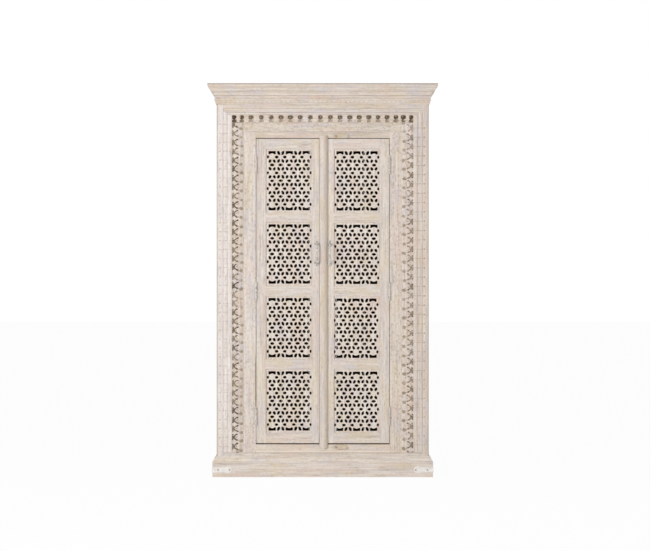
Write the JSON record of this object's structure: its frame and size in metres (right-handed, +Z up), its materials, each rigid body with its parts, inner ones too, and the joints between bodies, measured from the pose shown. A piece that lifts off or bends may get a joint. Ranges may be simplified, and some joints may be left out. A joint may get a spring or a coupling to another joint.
{
  "type": "carved two-door cabinet",
  "caption": "Tall whitewashed wooden cabinet for storage: pierced lattice doors on butt hinges in a carved stepped frame, with cornice, plinth, shelves, pull handles and turn buttons.",
  "frame": {"origin": "on the floor, under the middle of the whole cabinet's outer box", "axes": "+X to the right seen from the front, +Y to the back, +Z up; the doors face -Y"},
  "size_m": [1.17, 0.45, 2],
  "materials": {
    "whitewashed_wood": "whitewashed and waxed, matt",
    "carved_wood": "hand carved, whitewashed, matt",
    "dark_inner_wood": "oiled dark and left unlimed, matt",
    "whitewashed_iron": "brushed over with worn white paint",
    "screw_steel": "dulled steel"
  },
  "bodies": {
    "case": {"plinth_front_board": "whitewashed_wood", "plinth_left_board": "whitewashed_wood", "plinth_right_board": "whitewashed_wood", "plinth_back_board": "dark_inner_wood", "plinth_mouldings": "whitewashed_wood", "corner_straps": "whitewashed_iron", "strap_screws": "screw_steel", "left_front_post": "whitewashed_wood", "right_front_post": "whitewashed_wood", "left_back_post": "whitewashed_wood", "right_back_post": "whitewashed_wood", "side_rails": "whitewashed_wood", "side_panels": "whitewashed_wood", "back_rails": "dark_inner_wood", "back_planks": "dark_inner_wood", "floor_board": "dark_inner_wood", "top_board": "whitewashed_wood", "cornice_front": "whitewashed_wood", "cornice_left": "whitewashed_wood", "cornice_right": "whitewashed_wood", "head_rail": "whitewashed_wood", "bottom_rail": "whitewashed_wood", "left_face_stile": "whitewashed_wood", "right_face_stile": "whitewashed_wood", "face_head": "whitewashed_wood", "block_strips": "whitewashed_wood", "beads": "whitewashed_wood", "left_carved_border": "carved_wood", "right_carved_border": "carved_wood", "top_carved_border": "carved_wood", "head_strip": "whitewashed_wood", "sill_board": "whitewashed_wood", "lower_shelf": "dark_inner_wood", "middle_shelf": "dark_inner_wood", "upper_shelf": "dark_inner_wood", "shelf_cleats": "dark_inner_wood", "frame_hinge_leaves": "whitewashed_iron", "hinge_pins": "whitewashed_iron", "frame_hinge_screws": "screw_steel", "button_screws": "screw_steel"},
    "left_door": {"left_hinge_stile": "whitewashed_wood", "left_meeting_stile": "whitewashed_wood", "left_door_rails": "whitewashed_wood", "left_pierced_panels": "carved_wood", "left_pull_handle": "whitewashed_iron", "left_handle_screws": "screw_steel", "left_hinge_leaves": "whitewashed_iron", "left_hinge_screws": "screw_steel"},
    "right_door": {"right_hinge_stile": "whitewashed_wood", "right_meeting_stile": "whitewashed_wood", "right_door_rails": "whitewashed_wood", "right_pierced_panels": "carved_wood", "right_pull_handle": "whitewashed_iron", "right_handle_screws": "screw_steel", "right_hinge_leaves": "whitewashed_iron", "right_hinge_screws": "screw_steel", "cover_strip": "whitewashed_wood"},
    "top_button": {"top_turn_button": "whitewashed_wood"},
    "bottom_button": {"bottom_turn_button": "whitewashed_wood"}
  },
  "joints": [
    {"name": "left_door_hinge", "type": "hinge", "parent": "case", "child": "left_door", "pos_m": [-0.34025, -0.1688, 0.946], "axis": [0, 0, -1], "range_deg": [0, 160]},
    {"name": "right_door_hinge", "type": "hinge", "parent": "case", "child": "right_door", "pos_m": [0.34025, -0.1688, 0.946], "axis": [0, 0, 1], "range_deg": [0, 160]},
    {"name": "top_button_turn", "type": "hinge", "parent": "case", "child": "top_button", "pos_m": [0.069, -0.1698, 1.7355], "axis": [0, 1, 0], "range_deg": [0, 64]},
    {"name": "bottom_button_turn", "type": "hinge", "parent": "case", "child": "bottom_button", "pos_m": [0.068, -0.1698, 0.15], "axis": [0, -1, 0], "range_deg": [0, 90]}
  ]
}
